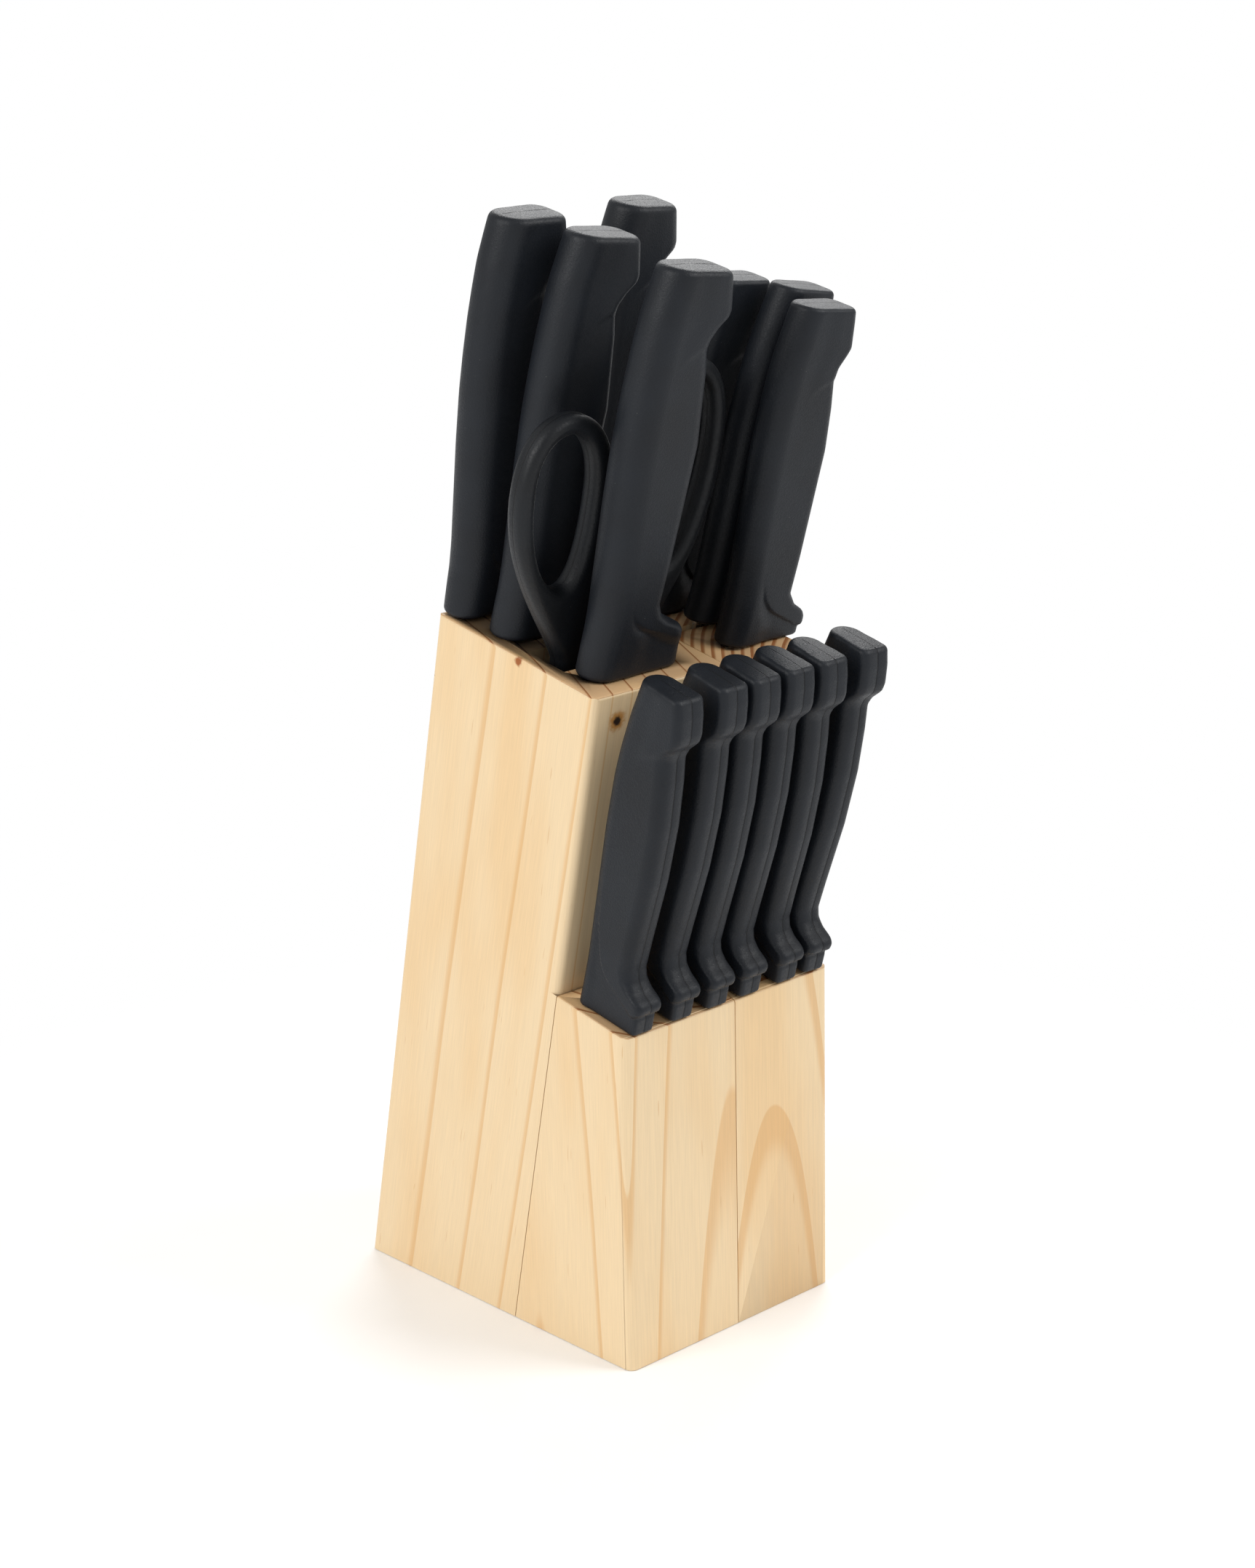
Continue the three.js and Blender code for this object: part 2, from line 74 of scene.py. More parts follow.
# %% Shape helpers
def soft_profile(pairs, heights, soften):
    """The profile's offsets at these heights, its corners softened over soften millimetres"""
    margin, samples = 6, 1400
    fine = np.linspace(-margin, pairs[-1][0] + margin, samples)
    values = np.interp(fine, [p[0] for p in pairs], [p[1] for p in pairs])
    reach = int(soften / (fine[1] - fine[0]))
    window = np.hanning(2 * reach + 3)
    padded = np.pad(values, reach + 1, mode="edge")
    smooth = np.convolve(padded, window / window.sum(), mode="valid")
    return np.interp(heights, fine, smooth)


def smoothstep(low, high, x):
    """0 below low, 1 above high, and an even S between them"""
    t = np.clip((x - low) / (high - low), 0, 1)
    return t * t * (3 - 2 * t)


def weld(mesh, reach):
    """Joins vertices that lie within reach of each other and turns every face outward"""
    work = bmesh.new()
    work.from_mesh(mesh)
    bmesh.ops.remove_doubles(work, verts=work.verts, dist=reach)
    bmesh.ops.recalc_face_normals(work, faces=work.faces)
    work.to_mesh(mesh)
    work.free()


def put(name, data, matrix=Matrix.Identity(4)):
    """A new object in the scene, for a mesh, a curve, a light or a camera"""
    made = bpy.data.objects.new(name, data)
    bpy.context.scene.collection.objects.link(made)
    made.matrix_world = matrix
    return made


def new_piece(name, vertices, faces, matrix, smooth=True):
    """An object from vertices in millimetres, placed by matrix"""
    mesh = bpy.data.meshes.new(name)
    mesh.from_pydata([tuple(v) for v in np.asarray(vertices) * MM], [], faces)
    weld(mesh, 1e-4 * MM)
    if smooth:
        mesh.shade_smooth()
    return put(name, mesh, matrix)


def loft(rings):
    """Vertices and faces of a closed skin over rings with the same number of points"""
    count = len(rings[0])
    faces = []
    for level in range(len(rings) - 1):
        a, b = level * count, (level + 1) * count
        for i in range(count):
            j = (i + 1) % count
            faces.append((a + i, a + j, b + j, b + i))
    faces.append(tuple(reversed(range(count))))
    faces.append(tuple(range((len(rings) - 1) * count, len(rings) * count)))
    return np.concatenate(rings), faces


def take_place(piece, body, slot_name, *cad_nodes):
    """The piece rides on a body in place of its CAD nodes"""
    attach(piece, body)
    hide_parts(*cad_nodes)


one_step = soft_profile([(0, 0), (9.9, 0), (10, 1), (20, 1)], [9, 10, 11], 2.0)
print("a 1 mm step softened over 2 mm:", one_step.round(2))

# %% [markdown]
# ## Helpers for materials
# Colours are written as sRGB hex values, as on a paint chart, and turned to linear light
# by one function. One more function adds a shader node with its settings and links. Patterns
# could be painted on, but noise in the piece's own coordinates needs no unwrapping, and its
# features have real sizes in millimetres.

# %% Material helpers
def paint(hex_value):
    """An sRGB hex colour as linear red, green, blue and alpha"""
    channels = [int(hex_value[i:i + 2], 16) / 255 for i in (1, 3, 5)]
    linear = [c / 12.92 if c <= 0.04045 else ((c + 0.055) / 1.055) ** 2.4 for c in channels]
    return (*linear, 1)


def add(tree, kind, inputs=None, output=0, **settings):
    """A node of one kind. inputs maps socket names or numbers to values or other outputs"""
    made = tree.nodes.new(kind)
    for key, value in settings.items():
        setattr(made, key, value)
    for key, value in (inputs or {}).items():
        if isinstance(value, bpy.types.NodeSocket):
            tree.links.new(value, made.inputs[key])
        else:
            made.inputs[key].default_value = value
    return made.outputs[output]


def math_node(tree, operation, *values):
    """The result of one sum on values or outputs"""
    return add(tree, "ShaderNodeMath", dict(enumerate(values)), operation=operation)


def blend_colour(tree, share, first, second, how="MIX"):
    """The first colour, with its share of the second laid over it"""
    sockets = {0: share, 6: first, 7: second}
    return add(tree, "ShaderNodeMix", sockets, output=2, data_type="RGBA", blend_type=how)


def ramp(tree, value, low, high, start=0.0, end=1.0):
    """value eased from start to end as it goes from low to high"""
    sockets = {"Value": value, "From Min": low, "From Max": high, "To Min": start, "To Max": end}
    return add(tree, "ShaderNodeMapRange", sockets, interpolation_type="SMOOTHSTEP")


def noise(tree, where, size, detail=2.0, roughness=0.5):
    """Noise from 0 to 1. size is its features' size in millimetres: one number, or three
    for features that are longer one way"""
    scale = 1.0
    if isinstance(size, tuple):
        stretch = {"Vector": where, "Scale": [1 / (length * MM) for length in size]}
        where = add(tree, "ShaderNodeMapping", stretch)
    else:
        scale = 1 / (size * MM)
    sockets = {"Vector": where, "Scale": scale, "Detail": detail, "Roughness": roughness}
    return add(tree, "ShaderNodeTexNoise", sockets)


def new_material(name):
    """A material, its node tree, its surface shader and the piece's own coordinates"""
    material = bpy.data.materials.new(name)
    material.use_nodes = True
    tree = material.node_tree
    surface = tree.nodes["Principled BSDF"]
    where = add(tree, "ShaderNodeTexCoord", output=3)
    return material, tree, surface, where


print("mid grey in linear light:", round(paint("#808080")[0], 3))

# %% [markdown]
# ## Radiata pine
# The block is plantation pine, planed, sanded and sealed with a clear satin lacquer: pale
# straw wood with thin amber latewood lines, a low sheen, and much darker end grain.
#
# A tree's rings are tubes round its pith. Each board is sawn from its own place in a log, so
# its material is given the pith's place beside the board, how far the pith drifts for each
# unit of height, the ring pitch, and the thickness of the dark latewood. A picture of wood
# could be laid on each face instead, but rings worked out in the solid meet at every edge:
# they show as long lines or arches on the sides and as curved stripes on the end grain.

# %% Colours of the pine
PINE_LIGHT = paint("#E7CDA4")
PINE_WARM = paint("#E2BB84")
PINE_LATE = paint("#D09648")
PINE_LINE = paint("#C48C4C")
END_LIGHT = paint("#D0AB80")
END_LATE = paint("#94592B")
RESIN = paint("#9A5518")
KNOT = paint("#2A1B10")
SIDE_CONTRAST = 0.43
END_CONTRAST = 0.92
print("the latewood's contrast on sides and ends:", SIDE_CONTRAST, END_CONTRAST)


# %% The pine material
def pine(name, pith, drift, pitch, latewood, fade, wander, end_grain=False, marks=(),
         leans=False):
    """pith and drift are (x, y) pairs; latewood and fade are the dark band's thickness and
    how gradually it starts; wander is how far a ring strays from its circle; marks are small
    blemishes as (centre, radius, colour); leans puts the trunk along the leaning frame's z"""
    material, tree, surface, where = new_material(name)
    if leans:
        tilt = {"Vector": where, "Location": leaning.translation, "Rotation": (LEAN, 0, 0)}
        where = add(tree, "ShaderNodeMapping", tilt, vector_type="TEXTURE")
    x, y, z = (add(tree, "ShaderNodeSeparateXYZ", {0: where}, output=i) for i in range(3))
    sway = noise(tree, where, (33.3, 33.3, 143), 1.0)
    sway = math_node(tree, "MULTIPLY", math_node(tree, "SUBTRACT", sway, 0.5), wander)
    across = []
    for value, centre, shift in ((x, pith[0], drift[0]), (y, pith[1], drift[1])):
        moved = math_node(tree, "MULTIPLY_ADD", z, -shift, value)
        across.append(math_node(tree, "SUBTRACT", moved, centre))
    squares = [math_node(tree, "MULTIPLY", a, a) for a in across]
    distance = math_node(tree, "SQRT", math_node(tree, "ADD", *squares))
    distance = math_node(tree, "ADD", distance, sway)
    ring = math_node(tree, "FRACT", math_node(tree, "DIVIDE", distance, pitch))
    start = 1 - latewood / pitch
    late = ramp(tree, ring, start - fade / pitch, start + 0.3 * latewood / pitch)
    late = math_node(tree, "MULTIPLY", late, ramp(tree, ring, 0.985, 1.0, 1.0, 0.0))

    # Fibres are about 0.03 mm thick, too fine to show, so they are drawn in bundles of 0.4 mm.
    # The wood is warmer in patches.
    fibre = noise(tree, where, (0.385, 0.385, 16.7), 3.0, 0.6)
    patches = noise(tree, where, (22.2, 22.2, 111))
    warm = ramp(tree, patches, 0.42, 0.68)
    light, dark = (END_LIGHT, END_LATE) if end_grain else (PINE_LIGHT, PINE_LATE)
    body = blend_colour(tree, math_node(tree, "MULTIPLY", warm, 0.5), light, PINE_WARM)
    strength = END_CONTRAST if end_grain else SIDE_CONTRAST
    colour = blend_colour(tree, math_node(tree, "MULTIPLY", late, strength), body, dark)
    fibres = ramp(tree, fibre, 0.25, 0.75, 0.95, 1.04)
    grey = add(tree, "ShaderNodeCombineColor", {0: fibres, 1: fibres, 2: fibres})
    colour = blend_colour(tree, 1.0, colour, grey, "MULTIPLY")

    # Resin ducts, 0.2 mm wide on real pine, are drawn as dashes about twice that.
    ducts = noise(tree, where, (0.667, 0.667, 9.1), 0.0)
    dash = ramp(tree, ducts, 0.80, 0.86)
    colour = blend_colour(tree, math_node(tree, "MULTIPLY", dash, 0.35), colour, PINE_LINE)
    for centre, radius, stain in marks:
        ends = {0: where, 1: centre}
        gap = add(tree, "ShaderNodeVectorMath", ends, output=1, operation="DISTANCE")
        ragged = noise(tree, where, 1.11)
        gap = math_node(tree, "MULTIPLY_ADD", ragged, radius * 0.8, gap)
        cover = ramp(tree, gap, radius * 0.9, radius * 1.6, 1.0, 0.0)
        colour = blend_colour(tree, cover, colour, stain)
    tree.links.new(colour, surface.inputs["Base Color"])

    # Lacquer has an IOR of 1.5; the fibres under it break up the satin sheen.
    surface.inputs["IOR"].default_value = 1.5
    gloss = ramp(tree, fibre, 0.3, 0.7, 0.42, 0.52)
    tree.links.new(gloss, surface.inputs["Roughness"])
    relief = math_node(tree, "MULTIPLY_ADD", late, 0.4, fibre)
    bump = {"Height": relief, "Strength": 0.12, "Distance": 0.1 * MM}
    tree.links.new(add(tree, "ShaderNodeBump", bump), surface.inputs["Normal"])
    return material


# %% Pine for the four boards, long grain and end grain
# A resin streak at the top, a pin knot near the back, and a dark knot in its own halo.
LEFT_MARKS = (
    ((-40.8 * MM, -35 * MM, 212.6 * MM), 1.5 * MM, RESIN),
    ((-40.8 * MM, -1.5 * MM, 195 * MM), 0.35 * MM, KNOT),
    ((-31.2 * MM, -66 * MM, 205.5 * MM), 3.2 * MM, PINE_LINE),
    ((-31.2 * MM, -66 * MM, 205.5 * MM), 1.5 * MM, KNOT),
)
# Where each board's pith lies, and its drift, as (x, y) in metres.
BOARD_LOGS = {
    "tall_board_left": dict(pith=(-0.29925, 0.052), drift=(0.0, -0.03), pitch=6.7 * MM,
                            latewood=0.35 * MM, fade=0.5 * MM, wander=1 * MM, marks=LEFT_MARKS,
                            leans=True),
    "tall_board_right": dict(pith=(0.075, -0.118), drift=(0.01, 0.0), pitch=2.9 * MM,
                             latewood=0.9 * MM, fade=0.6 * MM, wander=2 * MM, leans=True),
    "front_board_left": dict(pith=(0.0003, -0.0204), drift=(0.02, 0.033), pitch=8.18 * MM,
                             latewood=0.5 * MM, fade=0.8 * MM, wander=2 * MM),
    "front_board_right": dict(pith=(0.017, -0.0347), drift=(0.0, 0.1), pitch=7.675 * MM,
                              latewood=1.3 * MM, fade=0.7 * MM, wander=2 * MM),
}
pine_sides = {}
pine_ends = {}
for board_name, log in BOARD_LOGS.items():
    pine_sides[board_name] = pine(f"pine_{board_name}", **log)
    pine_ends[board_name] = pine(f"end_grain_{board_name}", end_grain=True, **log)
print("pine materials:", len(pine_sides) + len(pine_ends))

# %% [markdown]
# ## The boards
# The block is four boards with sawn slots, glued side by side, and its outer edges are
# rounded over with a router. A bevel modifier could round them, but it would round the slots
# and the glue lines too. So each board is a copy of its CAD solid, and a strip with a hollow
# quarter round is cut off each outer edge. A weighted normal modifier then keeps the sawn
# faces flat to the eye right up to the round.

# %% Board helpers
END_GRAIN_WITHIN = math.radians(45)
SHARP_EDGE = math.radians(25)


def copy_cad(name):
    """A CAD node's mesh as a new object in the whole object's frame"""
    piece = nodes[name].copy()
    piece.data = nodes[name].data.copy()
    piece.animation_data_clear()
    piece.parent = None
    for key in list(piece.keys()):
        del piece[key]
    piece.name = name.replace("_board", "_pine_board")
    bpy.context.scene.collection.objects.link(piece)
    piece.matrix_world = Matrix.Identity(4)
    weld(piece.data, 2e-3 * MM)
    return piece


def edge_cutter(start, end, first, second, radius):
    """The waste of rounding one edge; first and second point from it into the two faces"""
    steps = 8
    a, b = Vector(first).normalized(), Vector(second).normalized()
    outside = -1
    waste = [(outside, outside), (radius, outside), (radius, 0)]
    for i in range(1, steps):
        turn = math.pi / 2 * i / steps
        waste.append((radius * (1 - math.sin(turn)), radius * (1 - math.cos(turn))))
    waste += [(0, radius), (outside, radius)]
    rings = []
    for point in (Vector(start), Vector(end)):
        rings.append(np.array([point + a * u + b * v for u, v in waste]))
    vertices, faces = loft(rings)
    return new_piece("edge_cutter", vertices, faces, leaning, smooth=False)


def round_edges(board, cutters):
    """Cuts each strip of waste off the board"""
    for cutter in cutters:
        step = board.modifiers.new("round", "BOOLEAN")
        step.operation = "DIFFERENCE"
        step.solver = "MANIFOLD"
        step.object = cutter
    graph = bpy.context.evaluated_depsgraph_get()
    mesh = bpy.data.meshes.new_from_object(board.evaluated_get(graph))
    board.modifiers.clear()
    board.data = mesh
    for cutter in cutters:
        bpy.data.objects.remove(cutter)


def finish_board(board, name, end_direction):
    """End grain goes on the faces across the trunk, long grain on the others"""
    board.data.materials.clear()
    board.data.materials.append(pine_sides[name])
    board.data.materials.append(pine_ends[name])
    for face in board.data.polygons:
        face.material_index = int(face.normal.dot(end_direction) > math.cos(END_GRAIN_WITHIN))
    board.data.shade_smooth()
    board.data.set_sharp_from_angle(angle=SHARP_EDGE)
    even = board.modifiers.new("flat faces stay flat", "WEIGHTED_NORMAL")
    even.keep_sharp = True
    take_place(board, "block", "pine", name)


def to_lean(x, y, z):
    """A point of the whole object, in millimetres, in the leaning frame"""
    return leaning.inverted() @ (Vector((x, y, z)) * MM) / MM


step_front = to_lean(0, -BASE_DEPTH / 2 / MM, STEP_HEIGHT / MM)
print("the step's front edge lies", round(step_front.z, 1), "mm up the lean")

# %% The two tall boards
half_width = BLOCK_WIDTH / 2 / MM
depth = TALL_THICKNESS / MM
top = TALL_LENGTH / MM
step_rise = STEP_RISE / MM
up, down, back, front = (0, 0, 1), (0, 0, -1), (0, 1, 0), (0, -1, 0)
along_trunk = leaning.to_3x3() @ Vector(up)
# Router radii, and how far each cutter runs past the end of its edge.
VERTICAL_ROUND = 2.6
TOP_ROUND = 1.0
PAST = 5

for name, side in (("tall_board_left", -1), ("tall_board_right", 1)):
    board = copy_cad(name)
    inward = (-side, 0, 0)
    x = side * half_width
    past_x = x + side * PAST
    round_edges(board, [
        edge_cutter((x, -depth, step_rise), (x, -depth, top + PAST), inward, back, VERTICAL_ROUND),
        edge_cutter((x, 0, -PAST), (x, 0, top + PAST), inward, front, VERTICAL_ROUND),
        edge_cutter((x, PAST, top), (x, -depth - PAST, top), inward, down, TOP_ROUND),
        edge_cutter((past_x, -depth, top), (-x, -depth, top), back, down, TOP_ROUND),
        edge_cutter((past_x, 0, top), (-x, 0, top), front, down, TOP_ROUND),
    ])
    finish_board(board, name, along_trunk)
    print(name, len(board.data.polygons), "faces")

# %% The two front boards
# Their grain stands upright, but their sloping ends are square to the leaning z.
STEP_SIDE_ROUND = 0.8
STEP_FRONT_ROUND = 0.9
for name, side in (("front_board_left", -1), ("front_board_right", 1)):
    board = copy_cad(name)
    inward = (-side, 0, 0)
    x = side * half_width
    y = -BASE_DEPTH / 2 / MM
    z = STEP_HEIGHT / MM
    slope = (0, math.cos(LEAN), math.sin(LEAN))
    lean_back = leaning.inverted().to_3x3() @ Vector((0, 1, 0))
    lean_down = leaning.inverted().to_3x3() @ Vector((0, 0, -1))
    front_edge = [to_lean(x, y, -PAST), to_lean(x, y, z + PAST)]
    far_end = Vector((x, y, z)) + Vector(slope) * 80
    side_edge = [to_lean(x, y - 2, z - 0.4), to_lean(*far_end)]
    step_edge = [to_lean(x + side * PAST, y, z), to_lean(-x, y, z)]
    round_edges(board, [
        edge_cutter(*front_edge, inward, lean_back, VERTICAL_ROUND),
        edge_cutter(*side_edge, inward, down, STEP_SIDE_ROUND),
        edge_cutter(*step_edge, lean_back, lean_down, STEP_FRONT_ROUND),
    ])
    finish_board(board, name, along_trunk)
    print(name, len(board.data.polygons), "faces")

# %% [markdown]
# ## Handle plastic
# The handles are moulded in black polypropylene against a spark-eroded mould, which leaves a
# fine pebbled skin: a grey-black that is never quite black, with broad soft highlights. The
# pebbles could be modelled, but they are so small that a bump texture gives the same look.
# The two mould halves meet in the middle plane, y = 0 in a handle's own frame, so a thin line
# runs down the spine, over the butt and up the edge side. A little dust lies on the plastic.

# %% The plastic materials
DUST = paint("#9C9C9A")
SEAM_SHADE = paint("#050507")
SPECK_PITCH = 4.35 * MM


def black_plastic(name, colour, roughness, grain, parting, parting_from):
    """grain is the pebbles' size in millimetres: real ones are 0.1 to 0.2 mm, and they are
    drawn coarser so that they show. parting is the half width of the parting line, which is
    polished away where x is less than parting_from"""
    material, tree, surface, where = new_material(name)
    pebbles = noise(tree, where, grain, 3.0, 0.6)
    clouds = noise(tree, where, 16.7)
    body = blend_colour(tree, ramp(tree, clouds, 0.3, 0.7), paint(colour[0]), paint(colour[1]))
    specks = add(tree, "ShaderNodeTexVoronoi", {"Vector": where, "Scale": 1 / SPECK_PITCH})
    dust = ramp(tree, specks, 0.012, 0.03, 0.4, 0.0)
    body = blend_colour(tree, dust, body, DUST)
    x, y = (add(tree, "ShaderNodeSeparateXYZ", {0: where}, output=i) for i in range(2))
    seam = ramp(tree, math_node(tree, "ABSOLUTE", y), parting, parting * 2.2, 1.0, 0.0)
    seam = math_node(tree, "MULTIPLY", seam, ramp(tree, x, parting_from - 2 * MM, parting_from))
    body = blend_colour(tree, math_node(tree, "MULTIPLY", seam, 0.7), body, SEAM_SHADE)
    tree.links.new(body, surface.inputs["Base Color"])
    gloss = ramp(tree, pebbles, 0.3, 0.7, roughness - 0.06, roughness + 0.08)
    tree.links.new(gloss, surface.inputs["Roughness"])
    surface.inputs["IOR"].default_value = 1.49
    surface.inputs["Specular IOR Level"].default_value = 0.3
    skin = add(tree, "ShaderNodeBump", {"Height": pebbles, "Strength": 0.8, "Distance": 0.12 * MM})
    dip = math_node(tree, "MULTIPLY", seam, -1.0)
    line = {"Height": dip, "Strength": 0.6, "Distance": 0.15 * MM, "Normal": skin}
    tree.links.new(add(tree, "ShaderNodeBump", line), surface.inputs["Normal"])
    return material


handle_plastic = black_plastic(
    "handle_black_plastic", ("#14171C", "#181C22"), 0.46, 0.45, 0.13 * MM, 11 * MM)
shears_plastic = black_plastic(
    "shears_black_plastic", ("#111316", "#15181C"), 0.42, 0.6, 0.12 * MM, -60 * MM)
print("plastics:", handle_plastic.name, "and", shears_plastic.name)

# %% [markdown]
# ## Steel
# The blades are stainless strip, ground to an edge and brushed along, so the eye sees fine
# bright streaks from tip to handle. The shears' halves are stamped and satin finished across,
# and the pivot is turned. Anisotropic shading could stretch the highlights, but noise that is
# long along the brushing also shows the single streaks. Real brush marks are a few hundredths
# of a millimetre apart; here they are 0.25 mm apart, so that they show.

# %% The steel materials
def steel(name, colour, roughness, brush):
    """brush is the size of the marks along x, y and z, in millimetres"""
    material, tree, surface, where = new_material(name)
    marks = noise(tree, where, brush, 3.0, 0.6)
    tone = blend_colour(tree, marks, paint(colour[0]), paint(colour[1]))
    tree.links.new(tone, surface.inputs["Base Color"])
    surface.inputs["Metallic"].default_value = 1.0
    gloss = ramp(tree, marks, 0.3, 0.7, roughness - 0.06, roughness + 0.08)
    tree.links.new(gloss, surface.inputs["Roughness"])
    bump = {"Height": marks, "Strength": 0.1, "Distance": 0.02 * MM}
    tree.links.new(add(tree, "ShaderNodeBump", bump), surface.inputs["Normal"])
    return material


blade_steel = steel("ground_blade_steel", ("#B9BABC", "#D2D3D4"), 0.26, (0.25, 0.25, 11.1))
shears_steel = steel("satin_shears_steel", ("#B0B1B3", "#CACBCC"), 0.32, (11.1, 0.25, 0.25))
pivot_steel = steel("turned_pivot_steel", ("#A6A7A9", "#C4C5C6"), 0.30, (0.667, 0.667, 0.667))
print("steels:", blade_steel.name, shears_steel.name, pivot_steel.name)

# %% [markdown]
# ## Handles
# A handle is one moulding: a bolster with a guard at its foot, a grip, a hook for the little
# finger and a crowned butt. It could be sculpted, but thirteen of them in four sizes have to
# match, so each is a skin over level sections. Three profiles give the spine line, the
# edge-side line and the half thickness at each height above the foot. In a knife's own frame
# x runs from spine to edge, y through the thickness and z up to the butt.
#
# The grip's sides stand a little proud of the bolster below, and a low cap stands proud of
# them behind the hook. The `step` between grip and bolster sweeps down from the spine side to
# a notch under the guard: it has a depth, a softness, a share of the width at which it fades
# out, and the share of its depth that is left at the foot. `square` is how much tighter the
# edge side's corners are at the foot and the cap than along the grip.

# %% Profiles of the four handle sizes, in millimetres
LARGE = dict(
    length=114.0, notch=7.0, panel_top=93.0, cap=97.0, square=0.0, slope=2.0,
    foot_round=1.4, butt_round=1.8, heel=2.5,
    step=dict(depth=1.2, soft=2.0, fades=0.66, at_foot=0.3),
    spine=[(0, -2.0), (1.5, -1.9), (9, -1.0), (13, -0.4), (20, 0.1), (50, 0.6), (65, 1.2),
           (75, 2.0), (85, 3.1), (93, 4.3), (101, 5.7), (110, 8.2), (114, 9.5)],
    edge=[(0, 29.8), (7, 30.6), (10.6, 30.6), (12.2, 29.4), (14, 24.9), (16.5, 21.6), (20, 20.2),
          (32, 22.1), (65, 26.1), (85, 25.4), (91, 24.6), (94, 25.2), (97.4, 28.0),
          (100, 31.2), (102, 31.8), (110, 31.0), (114, 30.5)],
    half=[(0, 6.3), (9, 6.4), (20, 6.8), (60, 7.25), (95, 7.1), (114, 6.9)],
)
# The medium handle is the large one, 7 % less deep from spine to edge.
MEDIUM = {**LARGE, "edge": [(v, x * 0.93) for v, x in LARGE["edge"]]}
SMALL = dict(
    length=98.0, notch=2.8, panel_top=77.0, cap=81.0, square=0.03, slope=1.6,
    foot_round=1.0, butt_round=1.3, heel=2.0,
    step=dict(depth=0.8, soft=0.35, fades=0.72, at_foot=1.0),
    spine=[(0, -1.7), (1.2, -1.6), (9, -0.5), (16, 0), (56, 0.8), (72, 2.3), (79, 3.3),
           (85, 4.6), (94, 7.1), (98, 8.3)],
    edge=[(0, 26.1), (2.3, 26.4), (2.9, 26.3), (3.5, 27.8), (5.6, 28.0), (7.2, 27.2), (9.6, 23.4),
          (13.6, 20.9), (25, 22.3), (56, 25.0), (68, 24.6), (76.5, 23.7), (80, 24.5), (83.5, 27.2),
          (85.5, 28.4), (94, 28.0), (98, 27.6)],
    half=[(0, 5.3), (9, 5.4), (20, 5.5), (56, 5.8), (83, 5.7), (98, 5.6)],
)
STEAK = dict(
    length=102.0, notch=5.6, panel_top=84.0, cap=88.0, square=0.13, slope=1.0,
    foot_round=1.0, butt_round=1.3,
    step=dict(depth=0.7, soft=0.4, fades=0.95, at_foot=1.0),
    spine=[(0, -1.2), (6, -0.6), (16, 0), (56, 0.1), (72, 0.8), (81, 1.9), (91, 3.8),
           (97, 5.3), (102, 6.6)],
    edge=[(0, 22.7), (5.2, 22.9), (6.0, 22.4), (6.9, 24.1), (8.8, 24.5), (10.2, 23.8), (12, 20.6),
          (14.6, 18.4), (17.5, 17.6), (25.8, 18.5), (45.8, 21.0), (62.8, 21.9), (75.8, 21.4),
          (82.8, 20.7), (85.3, 21.4), (88.3, 24.0), (90.8, 24.5), (96.8, 24.0), (102, 22.8)],
    half=[(0, 4.7), (9, 4.9), (17, 4.9), (62, 5.2), (91, 5.2), (102, 5.1)],
)
print("handle lengths:", [size["length"] for size in (LARGE, MEDIUM, SMALL, STEAK)], "mm")


# %% The sections of a handle
# Corner radii as shares of the thickness, and how far the cap stands proud in millimetres.
BACK_ROUNDING = 0.49
EDGE_ROUNDING = 0.34
CAP_PROUD = 0.3


def sweep(from_edge):
    """How far a crease has climbed at this share of the width away from the edge side"""
    return 10 * from_edge ** 1.2 / (1.06 - from_edge)


def side_relief(kind, x, z, back_x, front_x):
    """How far the side stands back from the grip's full thickness, at places x on a level"""
    step = kind["step"]
    from_edge = np.clip((front_x - x) / (front_x - back_x), 0, 1)
    low_crease = kind["notch"] + sweep(from_edge)
    below = 1 - smoothstep(low_crease - step["soft"], low_crease + step["soft"], z)
    kept = step["at_foot"] + (1 - step["at_foot"]) * np.clip(z / low_crease, 0, 1)
    fading = 1 - smoothstep(step["fades"] - 0.25, step["fades"], from_edge)
    high_crease = kind["panel_top"] - 0.5 * sweep(from_edge)
    cap = smoothstep(high_crease - 0.6, high_crease + 0.6, z)
    cap_fading = 1 - smoothstep(0.3, 0.6, from_edge)
    return step["depth"] * below * kept * fading - CAP_PROUD * cap * cap_fading


def handle_section(kind, z, spine_x, edge_x, half, inset):
    """A level section: round towards the spine, tighter at the edge side, with a shallow
    groove there where the mould closed. inset draws it in near the foot and the butt"""
    back_x, front_x = spine_x + inset, edge_x - inset
    full = 2 * half
    half = half - inset
    back_r = max(full * BACK_ROUNDING - inset, 0.4)
    squarer = smoothstep(kind["cap"] - 6, kind["cap"], z) + 1 - smoothstep(8, 15, z)
    front_r = max(full * (EDGE_ROUNDING - kind["square"] * squarer) - inset, 0.3)
    turn = np.radians(np.linspace(0, 90, 11))
    flat = np.linspace(front_x - front_r, back_x + back_r, 26)[1:-1]
    seam_y = np.array([0.3, 0.1, -0.1, -0.3])
    seam_x = np.array([0, 0.08, 0.08, 0])
    upper = [(front_x - front_r + front_r * np.cos(turn), half - front_r + front_r * np.sin(turn))]
    upper.append((flat, np.full(len(flat), half)))
    upper.append((back_x + back_r - back_r * np.sin(turn), half - back_r + back_r * np.cos(turn)))
    xs = np.concatenate([part[0] for part in upper])
    ys = np.concatenate([part[1] for part in upper])
    ys = ys - side_relief(kind, xs, z, back_x, front_x) * (ys / half) ** 4
    ring_x = np.concatenate([xs, xs[::-1], front_x - seam_x])
    ring_y = np.concatenate([ys, -ys[::-1], -seam_y])
    return ring_x, ring_y


print("the crease climbs", round(sweep(0.5), 1), "mm to the middle of a side")


